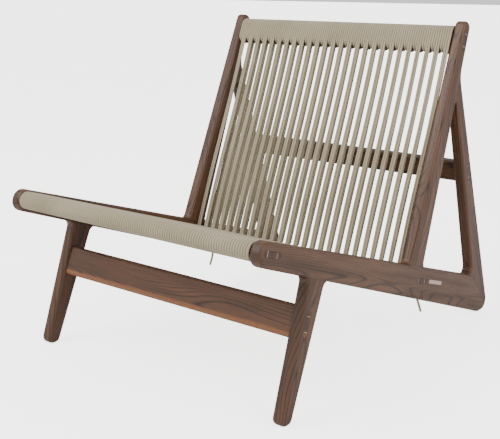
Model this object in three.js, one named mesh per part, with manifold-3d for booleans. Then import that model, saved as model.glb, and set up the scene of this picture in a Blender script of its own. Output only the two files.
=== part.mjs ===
// Armless lounge chair: two flat timber side frames, five cross members held by wedged through tenons,
// and a seat and back strung with round cord.
// Millimetres, +Z up, the sitter faces -Y. The origin is on the floor, under the middle of the bounding box.
// The side profile is drawn as [y, z] with y = 0 at the front of the seat rails, and moved back at the end.
import * as THREE from 'three';
import { mergeVertices } from 'three/addons/utils/BufferGeometryUtils.js';
import manifoldModule from 'manifold-3d';

const manifold = await manifoldModule();
manifold.setup();

// ---------- driving dimensions ----------

const overallWidth = 690;
const boardThickness = 28;
const arrisRadius = 7;         // every long edge of the side frames is rounded over
const glueLine = 0.3;          // left open between two touching pieces

// Edges of the side frame, each through two points [y, z].
const edges = {
  railTop: [[0, 377.7], [900, 103.2]],
  railBottom: [[0, 327.4], [900, 10.1]],
  railEnd: [[1.3, 352.5], [4.4, 362]],
  legFront: [[71.7, 0], [163.4, 300]],
  legBack: [[105.4, 0], [226.8, 300]],
  postFront: [[547.6, 200], [752.5, 700]],
  postBack: [[615.3, 200], [788.2, 700]],
  postEnd: [[770.9, 752.4], [804.5, 739.6]],
  rearLegFront: [[911.9, 0], [765.3, 500]],
  rearLegBack: [[984.5, 0], [803.8, 500]],
  floor: [[0, 0], [900, 0]],
};

// Roundings of the profile, seen from the side.
const radii = {
  legShoulder: 14,             // where the front leg meets the seat rail
  foot: 14,
  heelFront: 30,
  heelBack: 26,
  rearLegCrown: 60,            // where the rear leg runs out into the post
  postBase: 12,
  insideCorner: 14,
  insideApex: 6,
};

// Cross members: middle of the section [y, z], lean of its long side from upright, height, thickness, round.
const slopeOf = ([from, to]) => Math.atan2(to[0] - from[0], to[1] - from[1]);
const seatLean = slopeOf(edges.railTop);
const postLean = (slopeOf(edges.postFront) + slopeOf(edges.postBack)) / 2;
const members = {
  front_rail: { at: [34.5, 343.6], lean: seatLean, height: 60, thickness: 26.5, round: 13 },
  rear_rail: { at: [604.6, 159.8], lean: seatLean, height: 60, thickness: 26.5, round: 13 },
  top_rail: { at: [771, 702.6], lean: postLean, height: 58, thickness: 27, round: 13 },
  back_bar: { at: [825.3, 383], lean: -0.31, height: 54, thickness: 24, round: 8 },
  front_stretcher: { at: [147.7, 184], lean: 0.34, height: 65, thickness: 24, round: 8 },
};
const tenon = { height: 50, thickness: 12, round: 5.8 };
const wedge = { thickness: 1.6, tip: 0.5, depth: 20, offset: 15 };

// Loose tenons inside the side frames: middle [y, z], lean of the joint's normal, reach across and width
// along the joint.
const looseTenonThickness = 10;
const looseTenons = {
  leg_tenon: { at: [188, 261.5], lean: 0.35, reach: 44, width: 36 },
  post_tenon: { at: [583, 200], lean: 0.36, reach: 30, width: 34 },
  heel_tenon: { at: [932, 48], lean: 0.9, reach: 40, width: 60 },
  crown_tenon: { at: [752, 596], lean: Math.PI / 2 + 0.33, reach: 22, width: 24 },
};

const cordDiameter = 6;
const strandCount = 26;
const strandWidth = 11;        // two cords side by side

const nameplate = { at: [674.2, 140], length: 67, height: 9, depth: 1.2 };

// ---------- plane geometry, all in [y, z] ----------

const point = (y, z) => new THREE.Vector2(y, z);

function meet([a, b], [c, d]) {
  const first = point(b[0] - a[0], b[1] - a[1]);
  const second = point(d[0] - c[0], d[1] - c[1]);
  const along = point(c[0] - a[0], c[1] - a[1]).cross(second) / first.cross(second);
  return point(a[0], a[1]).addScaledVector(first, along);
}

// A closed outline through [corner, radius] pairs, with each corner turned into an arc.
function roundedOutline(corners, stepsPerArc = 7) {
  return corners.flatMap(([corner, radius], index) => {
    const toLast = corners.at(index - 1)[0].clone().sub(corner).normalize();
    const toNext = corners[(index + 1) % corners.length][0].clone().sub(corner).normalize();
    const halfAngle = Math.acos(toLast.dot(toNext)) / 2;
    const bisector = toLast.clone().add(toNext).normalize();
    const centre = corner.clone().addScaledVector(bisector, radius / Math.sin(halfAngle));
    const reach = radius / Math.tan(halfAngle);
    const start = corner.clone().addScaledVector(toLast, reach).sub(centre).angle();
    const end = corner.clone().addScaledVector(toNext, reach).sub(centre).angle();
    const sweep = Math.atan2(Math.sin(end - start), Math.cos(end - start));
    return Array.from({ length: stepsPerArc + 1 }, (_, step) => {
      const angle = start + (sweep * step) / stepsPerArc;
      return centre.clone().add(point(radius * Math.cos(angle), radius * Math.sin(angle)));
    });
  });
}

// Direction of a section's long side, and of its short side.
const upAlong = (lean) => point(Math.sin(lean), Math.cos(lean));
const acrossFrom = (lean) => point(Math.cos(lean), -Math.sin(lean));

function sectionOutline({ at, lean, height, thickness, round }) {
  const up = upAlong(lean).multiplyScalar(height / 2);
  const across = acrossFrom(lean).multiplyScalar(thickness / 2);
  const signs = [[1, 1], [1, -1], [-1, -1], [-1, 1]];
  const corners = signs.map(([u, a]) => point(...at).addScaledVector(up, u).addScaledVector(across, a));
  return round ? roundedOutline(corners.map((corner) => [corner, round])) : corners;
}

const grown = (section, margin) => ({
  ...section,
  height: section.height + 2 * margin,
  thickness: section.thickness + 2 * margin,
  round: section.round ? section.round + margin : 0,
});

// ---------- solids ----------

const { Manifold, Mesh } = manifold;
const acrossChair = new THREE.Matrix4().makeBasis(
  new THREE.Vector3(0, 1, 0),
  new THREE.Vector3(0, 0, 1),
  new THREE.Vector3(1, 0, 0),
);

function solidFrom(geometry) {
  geometry.deleteAttribute('normal');
  geometry.deleteAttribute('uv');
  const welded = mergeVertices(geometry, 1e-4);
  return new Manifold(new Mesh({
    numProp: 3,
    vertProperties: new Float32Array(welded.attributes.position.array),
    triVerts: new Uint32Array(welded.index.array),
  }));
}

// A board whose outline lies in the side view, between two stations across the chair.
function board(outline, fromX, toX, { holes = [], arris = 0, turned = new THREE.Matrix4() } = {}) {
  const shape = new THREE.Shape(outline);
  shape.holes = holes.map((hole) => new THREE.Path(hole));
  const geometry = new THREE.ExtrudeGeometry(shape, {
    depth: toX - fromX - 2 * arris,
    bevelEnabled: arris > 0,
    bevelThickness: arris,
    bevelSize: arris,
    bevelOffset: -arris,
    bevelSegments: 4,
  });
  geometry.applyMatrix4(acrossChair);
  geometry.translate(fromX + arris, 0, 0);
  geometry.applyMatrix4(turned);
  return solidFrom(geometry);
}

const sectionBar = (section, fromX, toX) => board(sectionOutline(section), fromX, toX);

// ---------- side frames ----------

const fromEdges = (first, second) => meet(edges[first], edges[second]);

function endRound(topEdge, bottomEdge, endEdge) {
  const upper = fromEdges(topEdge, endEdge);
  const lower = fromEdges(bottomEdge, endEdge);
  return { upper, lower, radius: 0.47 * upper.distanceTo(lower) };
}

const railFront = endRound('railTop', 'railBottom', 'railEnd');
const postTop = endRound('postBack', 'postFront', 'postEnd');
const outsideProfile = roundedOutline([
  [railFront.lower, railFront.radius],
  [fromEdges('railBottom', 'legFront'), radii.legShoulder],
  [fromEdges('legFront', 'floor'), radii.foot],
  [fromEdges('legBack', 'floor'), radii.foot],
  [fromEdges('railBottom', 'legBack'), radii.legShoulder],
  [fromEdges('railBottom', 'floor'), radii.heelFront],
  [fromEdges('rearLegBack', 'floor'), radii.heelBack],
  [fromEdges('rearLegBack', 'postBack'), radii.rearLegCrown],
  [postTop.upper, postTop.radius],
  [postTop.lower, postTop.radius],
  [fromEdges('postFront', 'railTop'), radii.postBase],
  [railFront.upper, railFront.radius],
]);
const insideProfile = roundedOutline([
  [fromEdges('postBack', 'railTop'), radii.postBase],
  [fromEdges('rearLegFront', 'railTop'), radii.insideCorner],
  [fromEdges('rearLegFront', 'postBack'), radii.insideApex],
]);

// A thin slab along a joint line that runs past both of its ends.
function jointCut(from, to, overrun) {
  const along = to.clone().sub(from);
  const middle = from.clone().add(to).multiplyScalar(0.5);
  return {
    at: middle.toArray(),
    lean: Math.atan2(along.x, along.y),
    height: along.length() + 2 * overrun,
    thickness: glueLine,
  };
}

const heelCorner = fromEdges('railBottom', 'rearLegBack');
const jointCuts = [
  jointCut(fromEdges('railBottom', 'legFront'), fromEdges('railBottom', 'legBack'), 1.4 * radii.legShoulder),
  jointCut(fromEdges('railTop', 'postFront'), fromEdges('railTop', 'postBack'), 1.4 * radii.postBase),
  jointCut(fromEdges('railTop', 'rearLegFront'), heelCorner, 2 * radii.insideCorner),
  jointCut(
    fromEdges('postBack', 'rearLegFront'),
    fromEdges('postBack', 'rearLegBack'),
    0.5 * radii.rearLegCrown,
  ),
];

// Where to look for the middle of each piece of a side frame, [y, z].
const pieceMiddles = {
  seat_rail: [480, 186],
  front_leg: [152, 143],
  back_post: [669, 458],
  rear_leg: [850, 319],
};

const outerFace = overallWidth / 2;
const innerFace = outerFace - boardThickness;
const boardMiddle = outerFace - boardThickness / 2;

const timber = new THREE.MeshStandardMaterial({ color: 0x5c3a28, roughness: 0.5 });
const paleTimber = new THREE.MeshStandardMaterial({ color: 0xb08a62, roughness: 0.6 });
const cordMaterial = new THREE.MeshStandardMaterial({ color: 0xb3aa92, roughness: 0.9 });
const plateMaterial = new THREE.MeshStandardMaterial({ color: 0xc8b4a0, roughness: 0.35, metalness: 0.6 });

const chair = new THREE.Group();
chair.name = 'lounge_chair';

function addPiece(name, solid, material) {
  const { numProp, vertProperties, triVerts } = solid.getMesh();
  const positions = new Float32Array((vertProperties.length / numProp) * 3);
  for (let vertex = 0; vertex * numProp < vertProperties.length; vertex += 1) {
    positions.set(vertProperties.subarray(vertex * numProp, vertex * numProp + 3), vertex * 3);
  }
  const geometry = new THREE.BufferGeometry();
  geometry.setAttribute('position', new THREE.BufferAttribute(positions, 3));
  geometry.setIndex(new THREE.BufferAttribute(new Uint32Array(triVerts), 1));
  geometry.computeVertexNormals();
  const mesh = new THREE.Mesh(geometry, material);
  mesh.name = name;
  chair.add(mesh);
}

// The chair's own left is the sitter's left, at +X.
const sides = [{ name: 'left', sign: 1 }, { name: 'right', sign: -1 }];
const stations = (sign, first, second) => [sign * first, sign * second].sort((a, b) => a - b);

for (const { name: side, sign } of sides) {
  const [fromX, toX] = stations(sign, innerFace, outerFace);
  let frame = board(outsideProfile, fromX, toX, { holes: [insideProfile], arris: arrisRadius });
  for (const member of Object.values(members)) {
    frame = frame.subtract(sectionBar(grown({ ...member, ...tenon }, glueLine), fromX - 1, toX + 1));
  }
  const [slotFrom, slotTo] = stations(
    sign,
    boardMiddle - looseTenonThickness / 2,
    boardMiddle + looseTenonThickness / 2,
  );
  for (const [name, { at, lean, reach, width }] of Object.entries(looseTenons)) {
    const section = { at, lean, height: reach, thickness: width };
    frame = frame.subtract(sectionBar(grown(section, glueLine), slotFrom - glueLine, slotTo + glueLine));
    addPiece(`${name}_${side}`, sectionBar(section, slotFrom, slotTo), paleTimber);
  }
  if (side === 'left') {
    const badge = {
      at: nameplate.at,
      lean: seatLean,
      height: nameplate.length,
      thickness: nameplate.height,
      round: nameplate.height * 0.48,
    };
    frame = frame.subtract(sectionBar(grown(badge, glueLine), toX - nameplate.depth - glueLine, toX + 1));
    addPiece('side_plate', sectionBar(badge, toX - nameplate.depth, toX), plateMaterial);
  }
  for (const cut of jointCuts) {
    frame = frame.subtract(sectionBar(cut, fromX - 1, toX + 1));
  }
  const pieces = frame.decompose();
  if (pieces.length !== Object.keys(pieceMiddles).length) {
    throw new Error(`the ${side} frame came apart into ${pieces.length} pieces`);
  }
  for (const [name, [y, z]] of Object.entries(pieceMiddles)) {
    const distance = (solid) => {
      const box = solid.boundingBox();
      return Math.hypot((box.min[1] + box.max[1]) / 2 - y, (box.min[2] + box.max[2]) / 2 - z);
    };
    const nearest = pieces.reduce((best, solid) => (distance(solid) < distance(best) ? solid : best));
    addPiece(`${name}_${side}`, nearest, timber);
  }
}

// ---------- cross members and their wedges ----------

// A thin wedge driven into a tenon's end grain, thick end at the outer face. Its slot is wider by a margin.
function wedgeSolid(member, sign, offset, margin = 0) {
  const beyondFace = margin ? 1 : 0;
  const depth = wedge.depth + margin + beyondFace;
  const geometry = new THREE.BoxGeometry(depth, tenon.thickness + 4 * margin, wedge.thickness + 2 * margin);
  const { position } = geometry.attributes;
  for (let vertex = 0; vertex < position.count; vertex += 1) {
    if (position.getX(vertex) * sign < 0) {
      position.setZ(vertex, Math.sign(position.getZ(vertex)) * (wedge.tip / 2 + margin));
    }
  }
  geometry.translate(sign * (outerFace + beyondFace - depth / 2), 0, offset);
  geometry.rotateX(-member.lean);
  geometry.translate(0, ...member.at);
  return solidFrom(geometry);
}

for (const [name, member] of Object.entries(members)) {
  const shoulder = innerFace - glueLine;
  let solid = sectionBar(member, -shoulder, shoulder)
    .add(sectionBar({ ...member, ...tenon }, -outerFace, outerFace));
  for (const { name: side, sign } of sides) {
    for (const [place, offset] of [['upper', wedge.offset], ['lower', -wedge.offset]]) {
      solid = solid.subtract(wedgeSolid(member, sign, offset, glueLine));
      addPiece(`${name}_wedge_${place}_${side}`, wedgeSolid(member, sign, offset), paleTimber);
    }
  }
  addPiece(name, solid, timber);
}

// ---------- cord ----------

const wrapEnd = innerFace - 2 * glueLine;
const pitch = (2 * wrapEnd) / strandCount;

function wrapSleeve(member) {
  const outline = sectionOutline(grown(member, glueLine + cordDiameter));
  const hole = sectionOutline(grown(member, glueLine));
  return board(outline, -wrapEnd, wrapEnd, { holes: [hole] });
}

// A row of strands from one [y, z] point to another, each as wide as two cords. Each strand has one pitch of
// the rail; its middle sits at startShare of that pitch at one end and at endShare at the other, so a row
// with two different shares leans sideways.
function strandRow(from, to, startShare, endShare = startShare) {
  const along = to.clone().sub(from);
  const corners = [[0, 0.5], [1, 0.5], [1, -0.5], [0, -0.5]];
  const across = acrossFrom(Math.atan2(along.x, along.y)).multiplyScalar(cordDiameter);
  const outline = corners.map(([share, side]) =>
    from.clone().addScaledVector(along, share).addScaledVector(across, side));
  const lean = along.clone().multiplyScalar(((endShare - startShare) * pitch) / along.lengthSq());
  const leaning = new THREE.Matrix4().set(
    1, lean.x, lean.y, -lean.dot(from),
    0, 1, 0, 0,
    0, 0, 1, 0,
    0, 0, 0, 1,
  );
  return Array.from({ length: strandCount }, (_, index) => {
    const middle = (index + startShare) * pitch - wrapEnd;
    return board(outline, middle - strandWidth / 2, middle + strandWidth / 2, { turned: leaning });
  });
}

// A point on the cord round a wrapped member: at its end arc towards +1 or -1 along its long side,
// then out to side +1 or -1 of it, or to 0 for the middle of the arc.
function onWrap(member, end, side) {
  const cordLine = member.thickness / 2 + glueLine + cordDiameter / 2;
  const toArc = upAlong(member.lean).multiplyScalar((end * (member.height - member.thickness)) / 2);
  const arcMiddle = point(...member.at).add(toArc);
  return side
    ? arcMiddle.addScaledVector(acrossFrom(member.lean), side * cordLine)
    : arcMiddle.addScaledVector(upAlong(member.lean), end * cordLine);
}

const { front_rail: frontRail, rear_rail: rearRail, top_rail: topRail } = members;
const seatCord = [
  wrapSleeve(frontRail),
  wrapSleeve(rearRail),
  ...strandRow(onWrap(frontRail, 1, -1), onWrap(rearRail, -1, -1), 0.75),
  ...strandRow(onWrap(frontRail, 1, 1), onWrap(rearRail, -1, 1), 0.75),
];
addPiece('seat_cord', Manifold.union(seatCord), cordMaterial);

// The back strands stop just clear of the wraps round the rear rail.
const clearOfWrap = cordDiameter + 13;
const shortOf = (end, start) => end.clone().addScaledVector(start.clone().sub(end).normalize(), clearOfWrap);
const frontLayerTop = onWrap(topRail, -1, -1);
const rearLayerTop = onWrap(topRail, -1, 1);
const backCord = [
  wrapSleeve(topRail),
  ...strandRow(frontLayerTop, shortOf(onWrap(rearRail, -1, 0), frontLayerTop), 0.75, 0.25),
  ...strandRow(rearLayerTop, shortOf(onWrap(rearRail, 1, -1), rearLayerTop), 0.75, 0.25),
];
addPiece('back_cord', Manifold.union(backCord), cordMaterial);

// The two loose ends that hang from the rear rail, each through points [x, y, z].
const tails = {
  cord_tail_left: [[306, 636, 131], [306, 646, 115.5], [305, 662, 95], [304, 685, 58]],
  cord_tail_right: [[-303, 624, 125], [-303, 629, 107.5], [-302, 624, 89.5], [-300, 613.5, 72]],
};
const cordSection = new THREE.Shape().absarc(0, 0, cordDiameter / 2, 0, 2 * Math.PI);
for (const [name, places] of Object.entries(tails)) {
  const path = new THREE.CatmullRomCurve3(places.map((place) => new THREE.Vector3(...place)));
  const tail = new THREE.ExtrudeGeometry(cordSection, { steps: 12, curveSegments: 8, extrudePath: path });
  addPiece(name, solidFrom(tail), cordMaterial);
}

// ---------- place the chair over its origin ----------

const reachBack = Math.max(...outsideProfile.map((corner) => corner.x));
const reachFront = Math.min(...outsideProfile.map((corner) => corner.x));
for (const mesh of chair.children) {
  mesh.geometry.translate(0, -(reachBack + reachFront) / 2, 0);
}

export default chair;
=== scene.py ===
import math
import random

import bmesh
import bpy
import numpy as np
from mathutils import Matrix, Vector


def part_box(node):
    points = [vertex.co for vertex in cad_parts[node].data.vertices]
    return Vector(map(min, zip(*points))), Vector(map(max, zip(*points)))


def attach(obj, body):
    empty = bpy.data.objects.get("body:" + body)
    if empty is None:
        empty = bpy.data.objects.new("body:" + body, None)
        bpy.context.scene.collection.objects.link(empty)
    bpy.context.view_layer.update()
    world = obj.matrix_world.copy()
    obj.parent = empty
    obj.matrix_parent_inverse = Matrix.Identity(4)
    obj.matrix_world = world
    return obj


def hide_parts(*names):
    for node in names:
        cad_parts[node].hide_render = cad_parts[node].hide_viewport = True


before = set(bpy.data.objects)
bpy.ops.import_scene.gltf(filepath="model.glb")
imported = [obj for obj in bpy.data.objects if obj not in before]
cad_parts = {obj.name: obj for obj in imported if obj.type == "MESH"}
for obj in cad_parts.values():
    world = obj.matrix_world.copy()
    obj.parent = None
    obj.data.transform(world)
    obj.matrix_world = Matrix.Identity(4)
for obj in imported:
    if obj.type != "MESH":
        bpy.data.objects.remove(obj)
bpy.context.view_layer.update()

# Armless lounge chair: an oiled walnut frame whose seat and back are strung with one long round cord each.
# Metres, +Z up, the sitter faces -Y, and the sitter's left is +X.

MM = 0.001
random.seed(26)

# ---------- driving dimensions ----------

INNER_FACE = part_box("seat_rail_left")[0].x          # the side frames' faces that look at each other
WRAP_END = INNER_FACE - 0.6 * MM

SEAT_LEAN = math.radians(106.96)                    # long side of the seat's rails, from upright
POST_LEAN = math.radians(20.68)                     # and of the top rail, along the back posts

SEAT_RAIL_SECTION = (60 * MM, 26.5 * MM)            # height and thickness of the front and the rear rail
TOP_RAIL_SECTION = (58 * MM, 27 * MM)

CORD = 5.7 * MM
STRAND_CORD_GAP = 5.4 * MM                          # between the two cords of a strand, off the rails
COATING = 0.3 * MM                                  # between a rail and the cord round it
SLOTS_PER_STRAND = 4                                # two cords of a strand and two turns or cords beside it
SLOTS = SLOTS_PER_STRAND * 26                       # 26 strands, on every wrapped rail
REAR_LAYER_SETBACK = 27 * MM                        # from the rear rail's front rounding to where it rises
REAR_LAYER_BEND = 7 * MM

FLOOR_GLOW = 3.0                                    # lifts the floor to white for the camera only

CAMERA_PLACE = Vector((1.28882, -1.71505, 0.79108))
CAMERA_AZIMUTH = math.radians(37.094)
CAMERA_ELEVATION = math.radians(8.4)
CAMERA_ROLL = math.radians(1.005)
CAMERA_LENS = 66.288
CAMERA_SHIFT = (-0.0394, -0.1693)                   # the view is a crop whose middle lies below the lens axis


# ---------- camera ----------

def place_camera():
    back = Vector((
        math.sin(CAMERA_AZIMUTH) * math.cos(CAMERA_ELEVATION),
        -math.cos(CAMERA_AZIMUTH) * math.cos(CAMERA_ELEVATION),
        math.sin(CAMERA_ELEVATION),
    ))
    right = (-back).cross(Vector((0, 0, 1))).normalized()
    up = right.cross(-back)
    turned_right = right * math.cos(CAMERA_ROLL) + up * math.sin(CAMERA_ROLL)
    turned_up = up * math.cos(CAMERA_ROLL) - right * math.sin(CAMERA_ROLL)
    camera = bpy.data.objects.new("camera", bpy.data.cameras.new("camera"))
    bpy.context.scene.collection.objects.link(camera)
    axes = Matrix((turned_right, turned_up, back)).transposed()
    camera.matrix_world = Matrix.Translation(CAMERA_PLACE) @ axes.to_4x4()
    camera.data.lens = CAMERA_LENS
    camera.data.shift_x, camera.data.shift_y = CAMERA_SHIFT
    bpy.context.scene.camera = camera


# ---------- materials ----------

class Shader:
    """A node tree being wired up, a node at a time."""

    def __init__(self, tree):
        self.tree = tree

    def node(self, kind, inputs=None, **settings):
        made = self.tree.nodes.new(kind)
        for name, value in settings.items():
            setattr(made, name, value)
        for socket, value in (inputs or {}).items():
            self.feed(made.inputs[socket], value)
        return made

    def feed(self, socket, value):
        if isinstance(value, bpy.types.NodeSocket):
            self.tree.links.new(value, socket)
        else:
            socket.default_value = value

    def math(self, operation, *values):
        return self.node("ShaderNodeMath", dict(enumerate(values)), operation=operation).outputs[0]

    def scaled(self, vector, scale):
        return self.node("ShaderNodeVectorMath", {0: vector, 1: scale}, operation="MULTIPLY").outputs[0]

    def noise(self, vector, scale, detail=3.0, roughness=0.5):
        inputs = {"Vector": vector, "Scale": scale, "Detail": detail, "Roughness": roughness}
        return self.node("ShaderNodeTexNoise", inputs).outputs["Fac"]

    def between(self, value, low, high, to_low=0.0, to_high=1.0):
        inputs = {"Value": value, "From Min": low, "From Max": high, "To Min": to_low, "To Max": to_high}
        return self.node("ShaderNodeMapRange", inputs).outputs["Result"]

    def mixed(self, factor, first, second, blend_type="MIX"):
        made = self.node("ShaderNodeMix", data_type="RGBA", blend_type=blend_type)
        for index, value in ((0, factor), (6, first), (7, second)):
            self.feed(made.inputs[index], value)
        return made.outputs[2]

    def ramp(self, value, stops):
        made = self.node("ShaderNodeValToRGB", {"Fac": value})
        elements = made.color_ramp.elements
        while len(elements) < len(stops):
            elements.new(0.5)
        for element, (place, colour) in zip(elements, stops):
            element.position = place
            element.color = (*colour, 1)
        return made.outputs["Color"]


def group(name, inputs, outputs):
    """A node group with named sockets: its tree, a Shader on it, its input sockets and its output node."""
    tree = bpy.data.node_groups.new(name, "ShaderNodeTree")
    for socket, kind in inputs.items():
        tree.interface.new_socket(name=socket, in_out="INPUT", socket_type=kind)
    for socket, kind in outputs.items():
        tree.interface.new_socket(name=socket, in_out="OUTPUT", socket_type=kind)
    shader = Shader(tree)
    given = tree.nodes.new("NodeGroupInput").outputs
    result = tree.nodes.new("NodeGroupOutput").inputs
    return tree, shader, given, result


def figured_timber():
    """Growth rings cut along the board, streaks, pores and end grain, from grain coordinates in metres."""
    tree, shader, given, result = group(
        "figured_timber",
        {"Grain": "NodeSocketVector", "End": "NodeSocketFloat"},
        {"Figure": "NodeSocketFloat", "Streaks": "NodeSocketFloat", "Pores": "NodeSocketFloat",
         "Height": "NodeSocketFloat"},
    )
    grain, end = given["Grain"], given["End"]
    wander = shader.noise(shader.scaled(grain, (1.7, 13, 13)), 1.0, 1.0)
    parts = shader.node("ShaderNodeSeparateXYZ", {0: grain})
    rings = shader.math("ADD", shader.math("MULTIPLY", parts.outputs["Y"], 150.0),
                        shader.math("MULTIPLY", wander, 26.0))
    lines = shader.between(shader.math("PINGPONG", rings, 0.5), 0.0, 0.2)
    blur = shader.noise(shader.scaled(grain, (9, 160, 160)), 1.0, 4.0, 0.6)
    figure = shader.math("ADD", shader.math("MULTIPLY", lines, 0.55), shader.math("MULTIPLY", blur, 0.6))
    streaks = shader.noise(shader.scaled(grain, (3.5, 42, 42)), 1.0, 3.0, 0.55)
    along = shader.noise(shader.scaled(grain, (90, 1500, 1500)), 1.0, 1.0)
    across = shader.noise(shader.scaled(grain, (1300, 1300, 1300)), 1.0, 1.0)
    dots = shader.mixed(end, along, across)
    pores = shader.between(dots, 0.60, 0.68)
    height = shader.math("SUBTRACT", shader.math("MULTIPLY", blur, 0.25), pores)
    for socket, value in (("Figure", figure), ("Streaks", streaks), ("Pores", pores), ("Height", height)):
        shader.feed(result[socket], value)
    return tree


def new_material(name):
    material = bpy.data.materials.new(name)
    material.use_nodes = True
    material.node_tree.nodes.clear()
    shader = Shader(material.node_tree)
    output = shader.node("ShaderNodeOutputMaterial")
    principled = shader.node("ShaderNodeBsdfPrincipled")
    shader.feed(output.inputs["Surface"], principled.outputs["BSDF"])
    return material, shader, principled.inputs


def attribute(shader, name, output):
    return shader.node("ShaderNodeAttribute", attribute_name=name).outputs[output]


def timber_material(name, figure_group, tones, painted_floor_light=None):
    """tones are the dark, middle and light colours of the figure."""
    material, shader, surface = new_material(name)
    grain = attribute(shader, "grain", "Vector")
    end = attribute(shader, "end_grain", "Fac")
    tone = attribute(shader, "tone", "Fac")
    look = shader.node("ShaderNodeGroup", node_tree=figure_group)
    shader.feed(look.inputs["Grain"], grain)
    shader.feed(look.inputs["End"], end)
    dark, middle, light = tones
    colour = shader.ramp(look.outputs["Figure"], [(0.22, dark), (0.52, middle), (0.86, light)])
    streaked = shader.between(look.outputs["Streaks"], 0.3, 0.7, 0.62, 1.35)
    brightness = shader.math("MULTIPLY", streaked, tone)
    colour = shader.mixed(1.0, colour, shader.node("ShaderNodeCombineColor", {
        "Red": brightness, "Green": brightness, "Blue": brightness}).outputs[0], "MULTIPLY")
    # Painted light: a pale, ragged band along the lower edge stands in for light thrown up by the floor.
    if painted_floor_light:
        edge, width, pale = painted_floor_light
        height = shader.node("ShaderNodeSeparateXYZ", {0: grain}).outputs["Y"]
        ragged = shader.math("ADD", height, shader.math("MULTIPLY", look.outputs["Streaks"], 0.004))
        colour = shader.mixed(shader.between(ragged, edge, edge + width), colour, (*pale, 1))
    colour = shader.mixed(shader.math("MULTIPLY", look.outputs["Pores"], 0.5), colour, (*dark, 1))
    colour = shader.mixed(shader.math("MULTIPLY", end, 0.45), colour, (*dark, 1))
    shader.feed(surface["Base Color"], colour)
    shader.feed(surface["Roughness"], shader.between(look.outputs["Streaks"], 0.3, 0.7, 0.5, 0.38))
    surface["Specular IOR Level"].default_value = 0.42
    bump = shader.node("ShaderNodeBump", {"Height": look.outputs["Height"], "Distance": 0.12 * MM,
                                          "Strength": 0.5})
    shader.feed(surface["Normal"], bump.outputs["Normal"])
    return material


def cord_material():
    """Braided cord: its UV map runs along the cord, in cord diameters, and once round it."""
    material, shader, surface = new_material("braided_cord")
    place = shader.node("ShaderNodeUVMap", uv_map="cord").outputs["UV"]
    parts = shader.node("ShaderNodeSeparateXYZ", {0: place})
    along, around = parts.outputs["X"], parts.outputs["Y"]
    plies = [
        shader.math("PINGPONG", shader.math("ADD", shader.math("MULTIPLY", along, 1.1),
                                            shader.math("MULTIPLY", around, turn)), 0.5)
        for turn in (3.0, -3.0)
    ]
    weave = shader.math("MAXIMUM", *plies)
    position = shader.node("ShaderNodeNewGeometry").outputs["Position"]
    drift = shader.noise(position, 9.0, 3.0)
    fibres = shader.noise(position, 1400.0, 2.0)
    colour = shader.ramp(drift, [(0.3, (0.36, 0.305, 0.205)), (0.7, (0.45, 0.385, 0.27))])
    shade = shader.between(weave, 0.2, 0.5, 0.86, 1.0)
    shade = shader.math("MULTIPLY", shade, shader.between(fibres, 0.3, 0.7, 0.94, 1.05))
    colour = shader.mixed(1.0, colour, shader.node("ShaderNodeCombineColor", {
        "Red": shade, "Green": shade, "Blue": shade}).outputs[0], "MULTIPLY")
    shader.feed(surface["Base Color"], colour)
    surface["Roughness"].default_value = 0.82
    surface["Specular IOR Level"].default_value = 0.25
    surface["Sheen Weight"].default_value = 0.15
    bump = shader.node("ShaderNodeBump", {"Height": shader.math("ADD", weave, shader.math(
        "MULTIPLY", fibres, 0.3)), "Distance": 0.5 * MM, "Strength": 0.6})
    shader.feed(surface["Normal"], bump.outputs["Normal"])
    return material


def plate_material():
    """Brushed metal, the brush marks running along the plate."""
    material, shader, surface = new_material("brushed_plate")
    grain = attribute(shader, "grain", "Vector")
    marks = shader.noise(shader.scaled(grain, (60, 4000, 4000)), 1.0, 2.0)
    colour = shader.ramp(marks, [(0.3, (0.50, 0.36, 0.29)), (0.7, (0.66, 0.50, 0.42))])
    shader.feed(surface["Base Color"], colour)
    shader.feed(surface["Roughness"], shader.between(marks, 0.3, 0.7, 0.32, 0.44))
    surface["Metallic"].default_value = 0.85
    return material


def floor_material():
    material, shader, surface = new_material("pale_floor")
    position = shader.node("ShaderNodeNewGeometry").outputs["Position"]
    drift = shader.noise(position, 1.3, 2.0)
    shades = [(0.3, (0.86, 0.86, 0.855)), (0.7, (0.89, 0.89, 0.885))]
    shader.feed(surface["Base Color"], shader.ramp(drift, shades))
    surface["Roughness"].default_value = 0.75
    seen = shader.node("ShaderNodeLightPath").outputs["Is Camera Ray"]
    shader.feed(surface["Emission Color"], shader.mixed(seen, (0, 0, 0, 1), (1, 1, 0.99, 1)))
    surface["Emission Strength"].default_value = FLOOR_GLOW
    return material


# ---------- timber ----------

EASED_FROM = math.radians(36)                       # edges turning by more than this are eased
SMOOTH_BELOW = math.radians(40)
END_GRAIN_FROM = 0.85                               # how squarely a face must cross the grain to be end grain


def upright_lean(lean):
    """Direction [y, z] of a section's long side, from its lean."""
    return Vector((math.sin(lean), math.cos(lean)))


def add_object(name, mesh, material):
    made = bpy.data.objects.new(name, mesh)
    bpy.context.scene.collection.objects.link(made)
    mesh.materials.append(material)
    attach(made, "root")
    return made


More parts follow.
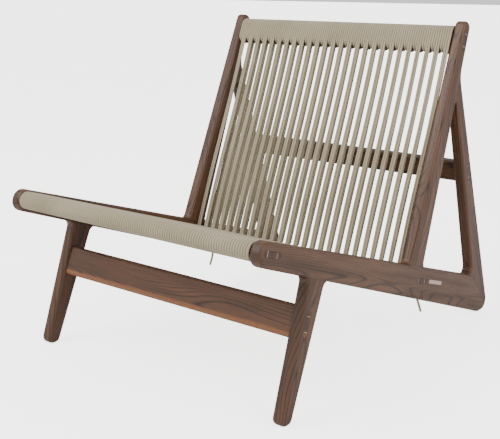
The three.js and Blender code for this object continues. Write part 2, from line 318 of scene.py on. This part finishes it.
def eased_copy(node, along, material, tone=1.0, ease=0.8 * MM, grain_shift=None):
    """A CAD piece with its sharp edges eased and its grain running along a direction."""
    solid = bmesh.new()
    solid.from_mesh(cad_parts[node].data)
    bmesh.ops.remove_doubles(solid, verts=solid.verts, dist=0.02 * MM)
    bmesh.ops.dissolve_limit(solid, angle_limit=math.radians(0.6), verts=solid.verts, edges=solid.edges)
    sharp = [edge for edge in solid.edges if edge.is_manifold and edge.calc_face_angle(0) > EASED_FROM]
    bmesh.ops.bevel(solid, geom=sharp, offset=ease, segments=2, profile=0.5, affect="EDGES",
                    clamp_overlap=True)
    for face in solid.faces:
        face.smooth = True
    mesh = bpy.data.meshes.new(node + "_finished")
    solid.to_mesh(mesh)
    solid.free()
    mesh.set_sharp_from_angle(angle=SMOOTH_BELOW)
    length = Vector(along).normalized()
    thickness = Vector((1, 0, 0)) if abs(length.x) < 0.5 else Vector((0, 1, 0))
    width = thickness.cross(length).normalized()
    shift = grain_shift or Vector([random.uniform(-4, 4) for _ in range(3)])
    grain = mesh.attributes.new("grain", "FLOAT_VECTOR", "POINT")
    for vertex, place in zip(mesh.vertices, grain.data):
        place.vector = shift + Vector((vertex.co.dot(length), vertex.co.dot(width), vertex.co.dot(thickness)))
    end = mesh.attributes.new("end_grain", "FLOAT", "FACE")
    for face, value in zip(mesh.polygons, end.data):
        value.value = float(abs(face.normal.dot(length)) > END_GRAIN_FROM)
    tones = mesh.attributes.new("tone", "FLOAT", "POINT")
    tones.data.foreach_set("value", [tone] * len(mesh.vertices))
    made = add_object(node + "_finished", mesh, material)
    made.modifiers.new("flat_faces", "WEIGHTED_NORMAL").keep_sharp = True
    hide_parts(node)
    return made


ACROSS = (1, 0, 0)
SEAT_ALONG = (0, *upright_lean(SEAT_LEAN))
MEMBERS = ("front_rail", "rear_rail", "top_rail", "back_bar", "front_stretcher")
# Each side piece's grain direction and how bright its timber is.
SIDE_PIECES = {
    "seat_rail": (SEAT_ALONG, 1.0),
    "front_leg": ((0, 0.33, 1), 0.9),
    "back_post": ((0, math.sin(POST_LEAN), math.cos(POST_LEAN)), 1.05),
    "rear_leg": ((0, -0.32, 1), 0.95),
}
LOOSE_TENONS = ("leg_tenon", "post_tenon", "heel_tenon", "crown_tenon")


def build_timber(walnut, walnut_with_painted_floor_light, pale):
    for side in ("left", "right"):
        for name, (along, tone) in SIDE_PIECES.items():
            eased_copy(f"{name}_{side}", along, walnut, tone)
        for name in LOOSE_TENONS:
            eased_copy(f"{name}_{side}", (0, 1, 0.3), pale)
        for member in MEMBERS:
            for place in ("upper", "lower"):
                eased_copy(f"{member}_wedge_{place}_{side}", ACROSS, pale, ease=0.2 * MM)
    for member in MEMBERS:
        # The front stretcher's finish has painted floor light along its lower edge.
        finish = walnut_with_painted_floor_light if member == "front_stretcher" else walnut
        shift = Vector((0.3, 0, 0)) if member == "front_stretcher" else None
        eased_copy(member, ACROSS, finish, 1.1 if member == "front_stretcher" else 1.0,
                   grain_shift=shift)


# ---------- cord ----------

def tube(name, path, diameter, material, sides=10):
    """A round cord along a path, closed at both ends, with a UV map that counts cord diameters and turns."""
    path = np.array(path, float)
    tangents = np.gradient(path, axis=0)
    tangents /= np.linalg.norm(tangents, axis=1)[:, None]
    sideways = np.array(ACROSS) - tangents * tangents[:, :1]
    sideways /= np.linalg.norm(sideways, axis=1)[:, None]
    outward = np.cross(tangents, sideways)
    angles = np.linspace(0, 2 * math.pi, sides, endpoint=False)
    ring = np.cos(angles)[:, None] * sideways[:, None] + np.sin(angles)[:, None] * outward[:, None]
    rows = path[:, None] + ring * (diameter / 2)
    count = len(path)
    corner = np.arange(count - 1)[:, None] * sides + np.arange(sides)[None]
    turned = np.arange(count - 1)[:, None] * sides + np.roll(np.arange(sides), -1)[None]
    quads = np.stack([corner, turned, turned + sides, corner + sides], axis=-1).reshape(-1, 4)
    ends = [list(range(sides))[::-1], list(range((count - 1) * sides, count * sides))]
    mesh = bpy.data.meshes.new(name)
    mesh.from_pydata(rows.reshape(-1, 3).tolist(), [], quads.tolist() + ends)
    mesh.shade_smooth()
    steps = np.linalg.norm(np.diff(path, axis=0), axis=1)
    lengths = np.concatenate([[0], np.cumsum(steps)]) / diameter
    uv = np.zeros((len(mesh.loops), 2))
    first = np.repeat(np.arange(count - 1), sides)
    turn = np.tile(np.arange(sides), count - 1) / sides
    quad_uv = np.stack([
        np.stack([lengths[first], turn], -1),
        np.stack([lengths[first], turn + 1 / sides], -1),
        np.stack([lengths[first + 1], turn + 1 / sides], -1),
        np.stack([lengths[first + 1], turn], -1),
    ], axis=1)
    uv[:len(quads) * 4] = quad_uv.reshape(-1, 2)
    mesh.uv_layers.new(name="cord").data.foreach_set("uv", uv.ravel())
    mesh.update()
    return add_object(name, mesh, material)


class WrappedRail:
    """The line of the cord round a rail with two round edges, in [y, z]; low is the lower or front one."""

    def __init__(self, node, lean, height, thickness):
        low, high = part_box(node)
        middle = Vector(((low.y + high.y) / 2, (low.z + high.z) / 2))
        reach = upright_lean(lean) * (height - thickness) / 2
        self.low, self.high = middle - reach, middle + reach
        self.radius = thickness / 2 + COATING + CORD / 2
        self.front = math.pi - lean                  # angle of the face that looks forwards or up

    def arc(self, centre, start, end, steps=10):
        return [centre + self.radius * direction(start + (end - start) * step / steps)
                for step in range(steps + 1)]

    def at(self, centre, angle):
        return centre + self.radius * direction(angle)


def direction(angle):
    return Vector((math.cos(angle), math.sin(angle)))


def run(start, end, steps=8):
    """The points between two ends of a straight stretch."""
    return [start.lerp(end, step / steps) for step in range(1, steps)]


class Stringing:
    """A cord's path, laid a stretch at a time; each stretch moves sideways from one place to another."""

    def __init__(self):
        self.path = []

    def lay(self, points, x, to_x=None):
        to_x = x if to_x is None else to_x
        last = max(1, len(points) - 1)
        for index, point in enumerate(points):
            share = index / last
            smooth = share * share * (3 - 2 * share)
            self.path.append((x + (to_x - x) * smooth, point.x, point.y))


def slot_places():
    """Places across the chair of the cords lying side by side on a rail."""
    width = 2 * WRAP_END / SLOTS
    return [-WRAP_END + width * (index + 0.5) for index in range(SLOTS)]


def drawn_together(places, slot):
    """The place of a strand's cord once it has left the rail, where the strand's two cords touch."""
    first = slot - slot % 2
    side = 1 if slot % 2 else -1
    return (places[first] + places[first + 1]) / 2 + side * STRAND_CORD_GAP / 2


def string_seat(front, rear, material):
    """Each strand is two long loops round both rails; two turns of the front rail follow it."""
    places = slot_places()
    top, bottom = front.front, front.front + math.pi
    nose = front.arc(front.low, top, bottom)
    inner = front.arc(front.high, bottom, top + 2 * math.pi)
    below = run(front.at(front.high, bottom), rear.at(rear.low, bottom))
    round_rear = rear.arc(rear.high, bottom, top + 2 * math.pi)
    above = run(rear.at(rear.low, top), front.at(front.high, top))
    cord = Stringing()
    for slot, x in enumerate(places):
        cord.lay(nose, x)
        if slot == SLOTS - 1:
            break
        following = places[slot + 1]
        if slot % SLOTS_PER_STRAND in (1, 2):
            closer = drawn_together(places, slot + 1)
            cord.lay(below, x, closer)
            cord.lay(round_rear, closer)
            cord.lay(above, closer)
            cord.lay([front.at(front.high, top)], following)
        else:
            cord.lay(inner, x, following)
    made = tube("seat_cord_strung", cord.path, CORD, material)
    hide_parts("seat_cord")


def string_back(top, rear, material):
    """Two turns of the top rail, then a strand: two long loops down the front and up behind."""
    places = slot_places()
    face = top.front
    rise = top.low - rear.low
    strand_face = math.pi - math.atan2(rise.x, rise.y)
    seat_bottom, seat_top = rear.front + math.pi, rear.front + 2 * math.pi
    over = top.arc(top.high, face - math.pi, face)
    under = top.arc(top.low, face, face + math.pi)
    leave = [top.at(top.low, face), top.at(top.low, strand_face)]
    down = run(leave[-1], rear.at(rear.low, strand_face))
    round_rear = [
        *rear.arc(rear.low, strand_face, seat_bottom, 6),
        *rear.arc(rear.high, seat_bottom, seat_top),
    ]
    bend_middle = (rear.low + upright_lean(SEAT_LEAN) * REAR_LAYER_SETBACK
                   + direction(seat_top) * (rear.radius + REAR_LAYER_BEND))
    turn_up = [
        bend_middle + REAR_LAYER_BEND * direction(seat_bottom + (strand_face - seat_bottom) * step / 5)
        for step in range(6)
    ]
    up = [*turn_up, *run(turn_up[-1], top.at(top.low, face - math.pi)), top.at(top.low, face - math.pi)]
    cord = Stringing()
    for slot, x in enumerate(places):
        cord.lay(over, x)
        if slot % SLOTS_PER_STRAND < 2:
            cord.lay(under, x, places[slot + 1])
            continue
        foot = drawn_together(places, slot - 2)
        cord.lay(leave, x)
        cord.lay(down, drawn_together(places, slot), foot)
        cord.lay(round_rear, foot)
        if slot < SLOTS - 1:
            cord.lay(up, foot, places[slot + 1])
    made = tube("back_cord_strung", cord.path, CORD, material)
    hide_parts("back_cord")


# ---------- the two loose ends of the cord ----------

# Each hangs from the rear rail. Points [x, y, z] from where it leaves the turns to its bare end.
TAILS = {
    "cord_tail_left": [(306, 149.5, 131), (306, 159.5, 115.5), (305, 175.5, 95), (304, 198.5, 58)],
    "cord_tail_right": [(-303, 137.5, 125), (-303, 142.5, 107.5), (-302, 137.5, 89.5), (-300, 127, 72)],
}


def smooth_path(points, steps=6):
    """Catmull-Rom curve through the points."""
    points = [Vector(point) * MM for point in points]
    ends = [2 * points[0] - points[1], *points, 2 * points[-1] - points[-2]]
    path = []
    for before, start, end, after in zip(ends, ends[1:], ends[2:], ends[3:]):
        for step in range(steps):
            t = step / steps
            path.append(0.5 * (2 * start + (end - before) * t
                               + (2 * before - 5 * start + 4 * end - after) * t * t
                               + (3 * start - before - 3 * end + after) * t ** 3))
    return [*path, points[-1]]


def hang_tails(material):
    for node, points in TAILS.items():
        path = smooth_path(points)
        tail = tube(node + "_hanging", path, CORD, material)
        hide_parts(node)


# ---------- floor and light ----------

LIGHTS_AIM = (0, 0, 0.35)                           # a point low in the middle of the chair
FLOOR_REACH = 300


def lay_floor():
    mesh = bpy.data.meshes.new("floor")
    signs = [(-1, -1), (1, -1), (1, 1), (-1, 1)]
    mesh.from_pydata([(x * FLOOR_REACH, y * FLOOR_REACH, 0) for x, y in signs], [], [(0, 1, 2, 3)])
    mesh.materials.append(floor_material())
    floor = bpy.data.objects.new("floor", mesh)
    bpy.context.scene.collection.objects.link(floor)


def soft_box(name, place, size, power):
    light = bpy.data.lights.new(name, "AREA")
    light.shape = "RECTANGLE"
    light.size, light.size_y = size
    light.energy = power
    made = bpy.data.objects.new(name, light)
    bpy.context.scene.collection.objects.link(made)
    made.location = place
    made.rotation_euler = (Vector(LIGHTS_AIM) - Vector(place)).to_track_quat("-Z", "Y").to_euler()


def light_studio():
    world = bpy.data.worlds.new("studio")
    world.use_nodes = True
    world.node_tree.nodes["Background"].inputs["Color"].default_value = (1.0, 0.995, 0.985, 1)
    world.node_tree.nodes["Background"].inputs["Strength"].default_value = 1.0
    bpy.context.scene.world = world
    soft_box("key", (-1.6, -2.6, 3.0), (2.4, 2.4), 110)
    soft_box("side", (3.2, -0.6, 1.8), (2.0, 2.4), 45)


place_camera()
cord = cord_material()
front_rail = WrappedRail("front_rail", SEAT_LEAN, *SEAT_RAIL_SECTION)
rear_rail = WrappedRail("rear_rail", SEAT_LEAN, *SEAT_RAIL_SECTION)
top_rail = WrappedRail("top_rail", POST_LEAN, *TOP_RAIL_SECTION)
string_seat(front_rail, rear_rail, cord)
string_back(top_rail, rear_rail, cord)
hang_tails(cord)
figure = figured_timber()
WALNUT_TONES = ((0.016, 0.006, 0.003), (0.05, 0.020, 0.009), (0.095, 0.040, 0.018))
PAINTED_FLOOR_LIGHT = (-0.168, 0.004, (0.22, 0.085, 0.03))      # painted floor light on the stretcher's lower edge: where it begins, its blend, its colour
PALE_TONES = ((0.20, 0.12, 0.07), (0.38, 0.25, 0.15), (0.50, 0.35, 0.22))
walnut = timber_material("oiled_walnut", figure, WALNUT_TONES)
walnut_with_painted_floor_light = timber_material("oiled_walnut_with_painted_floor_light", figure, WALNUT_TONES, PAINTED_FLOOR_LIGHT)
pale_timber = timber_material("pale_timber", figure, PALE_TONES)
build_timber(walnut, walnut_with_painted_floor_light, pale_timber)
eased_copy("side_plate", SEAT_ALONG, plate_material(), ease=0.2 * MM)
lay_floor()
light_studio()
